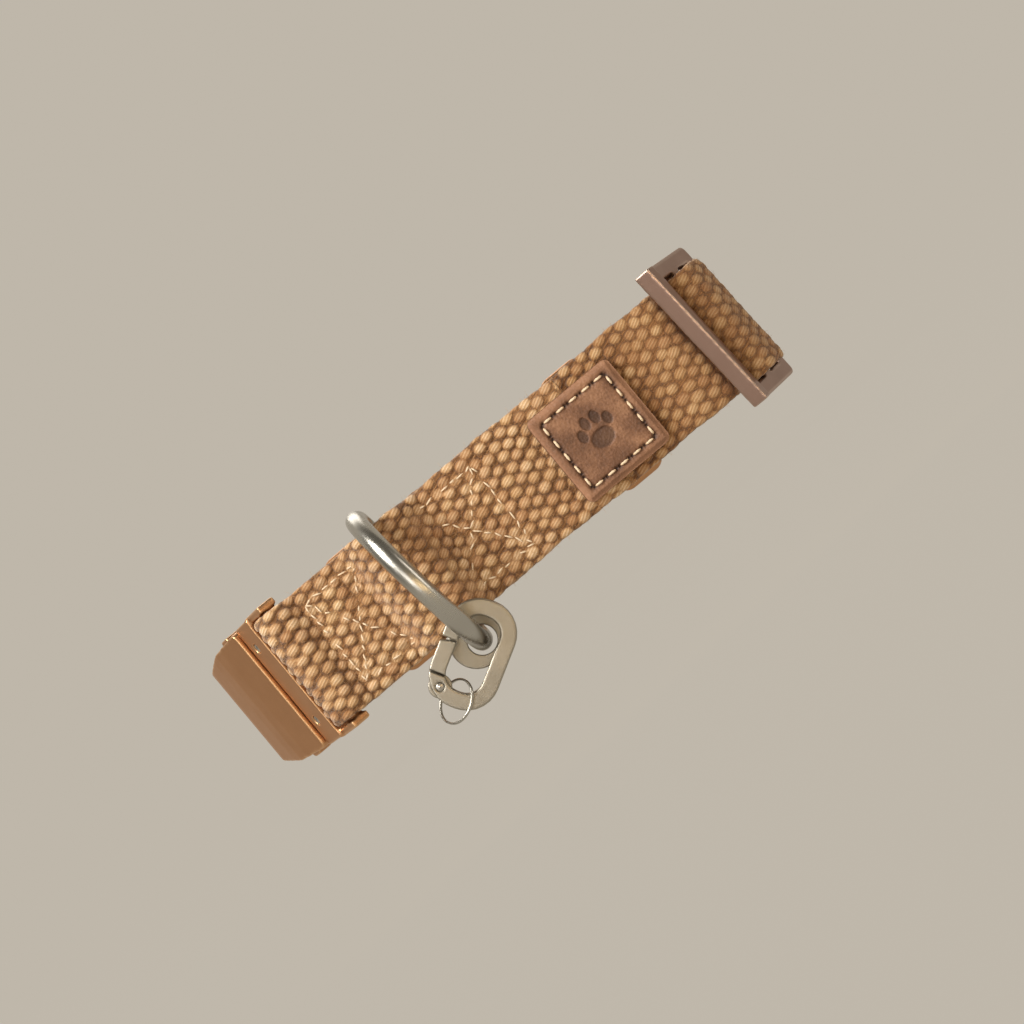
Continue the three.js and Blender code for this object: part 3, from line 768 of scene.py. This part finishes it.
def make_patch():
    """A slightly domed square of leather with a groove, needle holes and a paw print."""
    thick = PATCH["thick"]
    steps = 150
    line = np.linspace(-PATCH["half"], PATCH["half"], steps)
    x, z = np.meshgrid(line, line, indexing="ij")
    inside = PATCH["half"] - np.maximum(np.abs(x), np.abs(z))
    hole = hole_depth(x, z)
    groove = bell(inside - PATCH_SEWING["inset"], 0.45)
    paw = paw_depth(x, z)

    wave = 0.05 * np.sin(x * 0.7 + 1) * np.cos(z * 0.6)
    top = thick - 0.62 * (1 - smoothstep(inside, 0, 1.15)) + 0.08 * bell(inside - 1.25, 0.4)
    top = np.minimum(top + wave, thick)
    top -= PRESSED["groove"] * groove + PRESSED["hole"] * hole + PRESSED["paw"] * paw
    flat_x, flat_z = rounded_square(x, z)
    front = np.stack([flat_x, PATCH["back"] - top, flat_z], axis=-1).reshape(-1, 3)
    points, faces = patch_shell(front, steps)

    edge = np.clip(bell(inside, 0.95) + 0.35 * bell(inside - 1.3, 0.35), 0, 1)
    hollow = np.clip(0.9 * hole + 0.62 * paw + 0.2 * groove, 0, 1)
    extra = len(points) - len(front)
    marks = {
        "edge": np.concatenate([edge.ravel(), np.full(extra, 0.35)]),
        "hollow": np.concatenate([hollow.ravel(), np.full(extra, 0.3)]),
    }
    points = points + (PATCH["x"], 0, PATCH["z"])
    return mesh_object("leather_patch_panel", points, faces, LEATHER, marks)


def make_patch_sewing():
    """A running stitch round the patch, sunk into its groove."""
    y = PATCH["back"] - PATCH["thick"] + 0.02
    size = PATCH_SEWING["half_length"], PATCH_SEWING["half_width"]
    stitches = []
    for px, pz, wx, wz in patch_stitch_places():
        middle = (px + PATCH["x"], y, pz + PATCH["z"])
        stitches.append((middle, (wx, 0, wz), (0, -1, 0), *size))
    return stitched("patch_stitching", stitches, THREAD)


# Metal parts
def relaxed(mesh, rounds):
    """Softens a dense mesh's edges and marks how far each convex edge was worn down."""
    count = len(mesh.vertices)
    before = np.empty(count * 3)
    mesh.vertices.foreach_get("co", before)
    before = before.reshape(-1, 3)
    edges = np.empty(len(mesh.edges) * 2, int)
    mesh.edges.foreach_get("vertices", edges)
    first, second = edges.reshape(-1, 2).T
    degree = np.bincount(first, minlength=count) + np.bincount(second, minlength=count)
    normals = np.empty(count * 3)
    mesh.vertices.foreach_get("normal", normals)
    normals = normals.reshape(-1, 3)
    points = before.copy()
    for _ in range(rounds):
        total = np.zeros_like(points)
        for axis in range(3):
            total[:, axis] += np.bincount(first, points[second, axis], count)
            total[:, axis] += np.bincount(second, points[first, axis], count)
        points += 0.6 * (total / degree[:, None] - points)
    wear = -np.sum((points - before) * normals, axis=1)
    mesh.vertices.foreach_set("co", points.ravel())
    return np.clip(wear / 0.14, 0, 1)


def cast_from(node, axes, voxel, rounds, name, material):
    """A smooth casting over a CAD solid, remeshed along the solid's axes with softened edges."""
    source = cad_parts[node]
    turn = Matrix([[*row, 0] for row in axes] + [[0, 0, 0, 1]])
    dense = bpy.data.objects.new(name, source.data.copy())
    bpy.context.scene.collection.objects.link(dense)
    dense.data.transform(turn @ Matrix.Scale(1 / MM, 4) @ source.matrix_world)
    remesh = dense.modifiers.new("even", "REMESH")
    remesh.mode = "VOXEL"
    remesh.voxel_size = voxel * 1
    ready = dense.evaluated_get(bpy.context.evaluated_depsgraph_get())
    mesh = bpy.data.meshes.new_from_object(ready)
    dense.modifiers.clear()
    dense.data = mesh
    wear = relaxed(mesh, rounds)
    mesh.transform(Matrix.Scale(MM, 4) @ turn.inverted())
    mesh.shade_smooth()
    mesh.attributes.new("edge", "FLOAT", "POINT").data.foreach_set("value", wear.astype(np.float32))
    mesh.materials.clear()
    mesh.materials.append(material)
    return dense


def domed_pin(name, middle, way, radius, half, material):
    """A turned pin with softly domed ends."""
    middle, way = np.asarray(middle, float), np.asarray(way, float)
    dome = [(t, math.sqrt(max(0.0, 1 - t * t))) for t in np.linspace(0, 0.999, 6)]
    profile = [(half - 0.3 * radius + 0.3 * radius * t, radius * r) for t, r in dome]
    profile = [(-place, size) for place, size in reversed(profile)] + profile
    side = np.cross(way, (0.31, 0.2, 0.93))
    side /= np.linalg.norm(side)
    up = np.cross(way, side)
    turns = np.linspace(0, 2 * math.pi, 24, endpoint=False)
    ring = np.cos(turns)[:, None] * side + np.sin(turns)[:, None] * up
    points = np.vstack([middle + way * place + ring * size for place, size in profile])
    return mesh_object(name, points, tube_faces(len(profile), 24), material)


def d_ring(name, shape, middle, tilt, opens, material):
    """A D-shaped wire: its straight bar along Z at the middle, its bow towards opens on the Y axis."""
    half, leg, corner = shape["half"], shape["leg"], shape["corner"]
    corners = [(0, -half, corner), (leg, -half), (leg, half), (0, half, corner)]
    sides = rounded_path(corners, True)
    split = int(np.where(np.all(np.isclose(sides, (leg, -half)), axis=1))[0][0])
    turns = np.linspace(-math.pi / 2, math.pi / 2, 60)[1:-1]
    bow = np.column_stack([leg + half * np.cos(turns), half * np.sin(turns)])
    even = evenly_spaced(np.vstack([sides[: split + 1], bow, sides[split + 1:]]))
    points = np.column_stack([np.zeros(len(even)), opens * even[:, 0], even[:, 1]])
    cosine, sine = math.cos(math.radians(tilt)), math.sin(math.radians(tilt))
    turn = np.array([[cosine, 0, sine], [0, 1, 0], [-sine, 0, cosine]])
    return wire(name, points @ turn.T + middle, shape["wire"], material, 28)


UPRIGHT = [(1, 0, 0), (0, 1, 0), (0, 0, 1)]
BUCKLE_ALONG = np.array([-0.46947, 0.88295, 0])
BUCKLE_OUT = np.array([-0.88295, -0.46947, 0])
BUCKLE_AXES = [BUCKLE_ALONG, BUCKLE_OUT, (0, 0, 1)]
SLIDE_AXES = [(0.5, 0.86603, 0), (0.86603, -0.5, 0), (0, 0, -1)]
CLIP_ALONG = np.array([-0.87546, 0, -0.48328])
CLIP_ACROSS = np.array([0.48328, 0, -0.87546])
CLIP_AXES = [CLIP_ALONG, CLIP_ACROSS, (0, 1, 0)]
CLIP_MIDDLE = np.array([-18.4, -48, -17.4])


def in_buckle(s, n, z):
    """A place along the buckle from its strap bar, outwards from it, and across the strap."""
    return np.array([*MALE_BAR, 0]) + s * BUCKLE_ALONG + n * BUCKLE_OUT + z * np.array([0, 0, 1])


def on_body(piece, body, slot, *nodes):
    """The piece moves with the body and stands in for the CAD nodes."""
    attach(piece, body)
    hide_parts(*nodes)


def spring_coil(side):
    """Points along one button's coil spring, from its foot outwards."""
    turns = np.linspace(0, SPRING["turns"] * 2 * math.pi, 150)
    heights = side * np.linspace(SPRING["foot"], SPRING["top"], 150)
    points = []
    for turn, z in zip(turns, heights):
        points.append(in_buckle(SPRING["s"] + math.cos(turn), math.sin(turn), z))
    return points


def make_buckle():
    shell = cast_from("buckle_female", BUCKLE_AXES, 0.26, 3, "buckle_shell", ROSE_GOLD)
    on_body(shell, "collar", "buckle_metal", "buckle_female")
    tongue = cast_from("buckle_male_frame", BUCKLE_AXES, 0.26, 3, "buckle_tongue", ROSE_GOLD)
    on_body(tongue, "buckle_male", "buckle_metal", "buckle_male_frame")
    for side, name in ((1, "upper"), (-1, "lower")):
        arm = cast_from(f"release_arm_{name}", BUCKLE_AXES, 0.2, 3, f"button_{name}", ROSE_GOLD)
        on_body(arm, f"arm_{name}", "buckle_metal", f"release_arm_{name}")
        axle = in_buckle(BUTTON_PIN["s"], 0, side * BUTTON_PIN["z"])
        size = BUTTON_PIN["radius"], BUTTON_PIN["half"]
        pin = domed_pin(f"button_pin_{name}", axle, BUCKLE_OUT, *size, STEEL)
        on_body(pin, "buckle_male", "steel", f"release_pin_{name}")
        coil = spring_coil(side)
        spring = wire(f"button_spring_{name}", coil, SPRING["wire"], STEEL, 10, closed=False)
        on_body(spring, "buckle_male", "steel", f"release_spring_{name}")
        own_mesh(spring)


def make_rings():
    tag_ring = d_ring("tag_ring_wire", TAG_RING, (LOOP["x"], -37, -1), -7, -1, NICKEL)
    on_body(tag_ring, "tag_ring", "ring_metal", "tag_d_ring")
    leash_ring = d_ring("leash_ring_wire", LEASH_RING, (0, BACK_Y, 0), 0, 1, NICKEL)
    on_body(leash_ring, "leash_ring", "ring_metal", "leash_d_ring")
    wide, tall, corner = (SLIP["far"] - SLIP["near"]) / 2, SLIP["half"], SLIP["corner"]
    signs = ((-1, -1), (1, -1), (1, 1), (-1, 1))
    even = evenly_spaced(rounded_path([(x * wide, z * tall, corner) for x, z in signs], True))
    for side, name in ((-1, "left"), (1, "right")):
        middle = side * (SLIP["near"] + SLIP["far"]) / 2
        points = np.column_stack([even[:, 0] + middle, np.full(len(even), BACK_Y), even[:, 1]])
        ring = wire(f"slip_ring_wire_{name}", points, SLIP["wire"], ROSE_GOLD, 24)
        on_body(ring, f"ring_{name}", "buckle_metal", f"slip_ring_{name}")


def make_slide():
    slide = cast_from("tri_glide", SLIDE_AXES, 0.2, 3, "three_bar_slide", BRONZE)
    on_body(slide, "collar", "slide_metal", "tri_glide")


def in_clip(place):
    return CLIP_MIDDLE + place["along"] * CLIP_ALONG + place["across"] * CLIP_ACROSS


def make_clip():
    body = cast_from("clip_body", CLIP_AXES, 0.16, 3, "clip_frame", BRASS)
    on_body(body, "clip", "clip_metal", "clip_body")
    gate = cast_from("clip_gate", CLIP_AXES, 0.14, 3, "clip_gate_lever", BRASS)
    on_body(gate, "gate", "clip_metal", "clip_gate")
    pin_place = in_clip(CLIP_PIN)
    size = CLIP_PIN["radius"], CLIP_PIN["half"]
    pin = domed_pin("clip_pivot", pin_place, (0, -1, 0), *size, STEEL)
    on_body(pin, "clip", "steel", "clip_gate_pin")
    disc = cast_from("tag_disc", UPRIGHT, 0.14, 3, "tag_plate", BRASS)
    on_body(disc, "disc", "clip_metal", "tag_disc")


def make_key_ring():
    """Two turns of thin wire, side by side."""
    turn = math.radians(KEY_RING["turn"])
    angles = np.linspace(0, 4 * math.pi, 160)[:, None]
    across = math.sin(turn) * CLIP_ACROSS + math.cos(turn) * np.array([0, -1, 0])
    circle = np.cos(angles) * CLIP_ALONG + np.sin(angles) * across
    rise = np.cross(CLIP_ALONG, across) * 0.2 * (angles / math.tau - 1)
    helix = in_clip(KEY_RING) + KEY_RING["radius"] * circle + rise
    ring = wire("key_ring", helix, KEY_RING["wire"], NICKEL, 10, closed=False)
    on_body(ring, "small_ring", "ring_metal", "split_ring")


# Straps
def front_corners():
    """From the sewn-down end, round the buckle's bar, over the tag ring and under the patch."""
    x, y = MALE_BAR
    outer, inner = y - BAR_REACH, y + BAR_REACH
    foot, crest, rise = LOOP["foot"], LOOP["crest"], LOOP["rise"]
    return [
        (5, TAIL_Y),
        (-38.7, TAIL_Y, 1.5),
        (x + 2, inner, 1.5),
        (x - BAR_REACH, inner, BAR_REACH - 0.01),
        (x - BAR_REACH, outer, BAR_REACH - 0.01),
        (x + 2, outer, 1.5),
        (-38.7, FRONT_Y, 1.5),
        (LOOP["x"] - foot, FRONT_Y, 2),
        (LOOP["x"] - crest, FRONT_Y - rise, 2),
        (LOOP["x"] + crest, FRONT_Y - rise, 2),
        (LOOP["x"] + foot, FRONT_Y, 2),
        (SEAM_X, FRONT_Y),
    ]


def fold_corners(side):
    """Round a slip ring's outer bar, from the strap's outer layer to its inner one."""
    out, bar = LAYER_PITCH / 2, SLIP["far"] - FOLD_RADIUS
    return [
        (side * 41.5, BACK_Y + out, 2),
        (side * 38.5, BACK_Y + FOLD_RADIUS, 2),
        (side * bar, BACK_Y + FOLD_RADIUS, FOLD_RADIUS - 0.01),
        (side * bar, BACK_Y - FOLD_RADIUS, FOLD_RADIUS - 0.01),
        (side * 38.5, BACK_Y - FOLD_RADIUS, 2),
        (side * 41.5, BACK_Y - out, 2),
    ]


def adjuster_corners():
    """From under the patch, through the slide, round the right slip ring and back to the slide."""
    middle = SLIDE["pitch"]
    return [
        (SEAM_X - 0.3, FRONT_Y),
        at_slide(-0.46, -2.8, 3),
        at_slide(3.35, -2.8, 1.2),
        at_slide(3.35, 4.9, 4.2),
        at_slide(14.65, 4.9, 4.2),
        at_slide(14.65, -2.8, 1.2),
        at_slide(26, -2.8, 20),
        (61, 18, 14),
        (50, BACK_Y + LAYER_PITCH / 2, 8),
        *fold_corners(1),
        (48.8, BACK_Y - LAYER_PITCH / 2, 6),
        (58.2, 17.2, 12),
        at_slide(24.5, -7.4, 14),
        at_slide(12.5, -7.4, 3),
        at_slide(middle - 2.8, -3, 1.7),
        at_slide(middle - 2.8, 2.6, 1.7),
        at_slide(middle + 2.8, 2.6, 1.7),
        at_slide(middle + 2.8, -5.1, 1.7),
        at_slide(22, -5.1),
    ]


def buckle_strap_corners():
    """Round the buckle's other bar and the left slip ring, as one closed loop."""
    x, y = FEMALE_BAR
    outer_x, inner_x = x - BAR_REACH, x - BAR_REACH + LAYER_PITCH
    return [
        (-50, BACK_Y + LAYER_PITCH / 2, 8),
        (outer_x, 20.2, 12),
        (outer_x, y - BAR_REACH, BAR_REACH - 0.01),
        (x + BAR_REACH, y - BAR_REACH, BAR_REACH - 0.01),
        (x + BAR_REACH, y + 2.4, 2),
        (inner_x, y + 7.4, 2),
        (inner_x, 19, 10),
        (-48.8, BACK_Y - LAYER_PITCH / 2, 6),
        *fold_corners(-1)[::-1],
    ]


def make_straps():
    front = strap("front_webbing", front_corners(), 3, fine=(64, 150), pressed=pressed_by_stitches)
    stitching = make_strap_stitches()
    for piece in (front, stitching):
        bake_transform(piece)
    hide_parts("front_strap", "front_strap_tail", "strap_end_fold")

    # The adjuster strap takes the darker webbing copy: painted shade.
    adjuster = strap(
        "adjuster_webbing",
        adjuster_corners(),
        11,
        fine=(4, 62),
        pressed=flattened_by_slide,
        material=SHADED_WEBBING,
    )
    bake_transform(adjuster)
    nodes = ("strap_through_slide", "adjuster_outer", "ring_fold_right", "adjuster_inner", "slide_anchor")
    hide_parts(*nodes)

    left = strap("buckle_webbing", buckle_strap_corners(), 23, closed=True)
    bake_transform(left)
    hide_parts("buckle_strap", "ring_fold_left")

    end = SLIP["near"] + LOOP_RADIUS
    signs = ((-1, -1), (1, -1), (1, 1), (-1, 1))
    radius = LOOP_RADIUS - 0.01
    corners = [(x * end, BACK_Y + y * LOOP_RADIUS, radius) for x, y in signs]
    loop = strap("slip_loop_webbing", corners, 31, closed=True, half_width=LOOP_WIDTH / 2 - 0.1)
    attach(loop, "collar")
    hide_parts("slip_loop")
    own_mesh(loop)


# Setting
def make_studio():
    """A pale sweep that hardly takes shadow, a key from the upper left and weaker lights around."""
    pale = srgb(191, 183, 170)
    shader = Shader("pale_sweep", 1.0)
    shader.surface.inputs["Specular IOR Level"].default_value = 0.0
    shader.surface.inputs["Emission Color"].default_value = pale
    shader.surface.inputs["Emission Strength"].default_value = 0.995
    sweep_material = shader.finish((0.004, 0.004, 0.004, 1.0))
    profile = [(-1500, 0), (500, 0), (760, 60), (900, 250), (930, 600), (930, 2500)]
    bends = [(y, z, 120) for y, z in profile[1:-1]]
    line = rounded_path([profile[0], *bends, profile[-1]])
    width = np.array([-2500, 2500])
    points = [(x, y, z - ORIGIN[2] / MM) for y, z in line for x in width]
    sweep = mesh_object("pale_sweep", np.array(points), grid_faces(len(line), 2), sweep_material)

    world = bpy.data.worlds.new("studio")
    world.use_nodes = True
    world.node_tree.nodes["Background"].inputs["Color"].default_value = pale
    world.node_tree.nodes["Background"].inputs["Strength"].default_value = 0.3
    bpy.context.scene.world = world
    area_light("key_softbox", (-230, -250, 330), 220, 220, 2.7, (1.0, 0.98, 0.94))
    area_light("fill", (-220, -560, 0), 300, 300, 1.1, (1.0, 0.97, 0.93))
    area_light("right_strip", (420, -200, 40), 70, 400, 0.5, (1.0, 0.93, 0.84))
    area_light("low_glow", (60, -230, -8), 200, 14, 0.07, (1.0, 0.7, 0.36))
    area_light("back_softbox", (0, 420, 420), 400, 300, 0.9, (1.0, 0.97, 0.93))


def area_light(name, place, width, height, power, color):
    """A rectangular softbox, in millimetres, that faces the collar."""
    light = bpy.data.lights.new(name, "AREA")
    light.shape = "RECTANGLE"
    light.size, light.size_y = width * MM, height * MM
    light.energy = power
    light.color = color
    lamp = bpy.data.objects.new(name, light)
    lamp.location = placed(place)
    towards = Vector(placed((0, 0, 0))) - lamp.location
    lamp.rotation_euler = towards.to_track_quat("-Z", "Y").to_euler()
    bpy.context.scene.collection.objects.link(lamp)


def make_camera():
    """Level with the strap and square to its front, rolled so that the strap climbs to the right."""
    camera = bpy.data.cameras.new("camera")
    camera.sensor_width = 36
    camera.lens = 85.5
    camera.clip_start = 0.01
    eye = bpy.data.objects.new("camera", camera)
    roll = math.radians(39.8)
    right = Vector((math.cos(roll), 0, -math.sin(roll)))
    up = Vector((math.sin(roll), 0, math.cos(roll)))
    turn = Matrix([right, up, (0, -1, 0)]).transposed()
    eye.matrix_world = Matrix.Translation(placed((3.4, -487, -2.2))) @ turn.to_4x4()
    bpy.context.scene.collection.objects.link(eye)
    bpy.context.scene.camera = eye


make_camera()
make_studio()
make_straps()
on_body(make_patch(), "collar", "leather", "leather_patch")
patch_sewing = make_patch_sewing()
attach(patch_sewing, "collar")
make_buckle()
make_rings()
make_slide()
make_clip()
make_key_ring()
bpy.context.scene.view_settings.view_transform = "Standard"
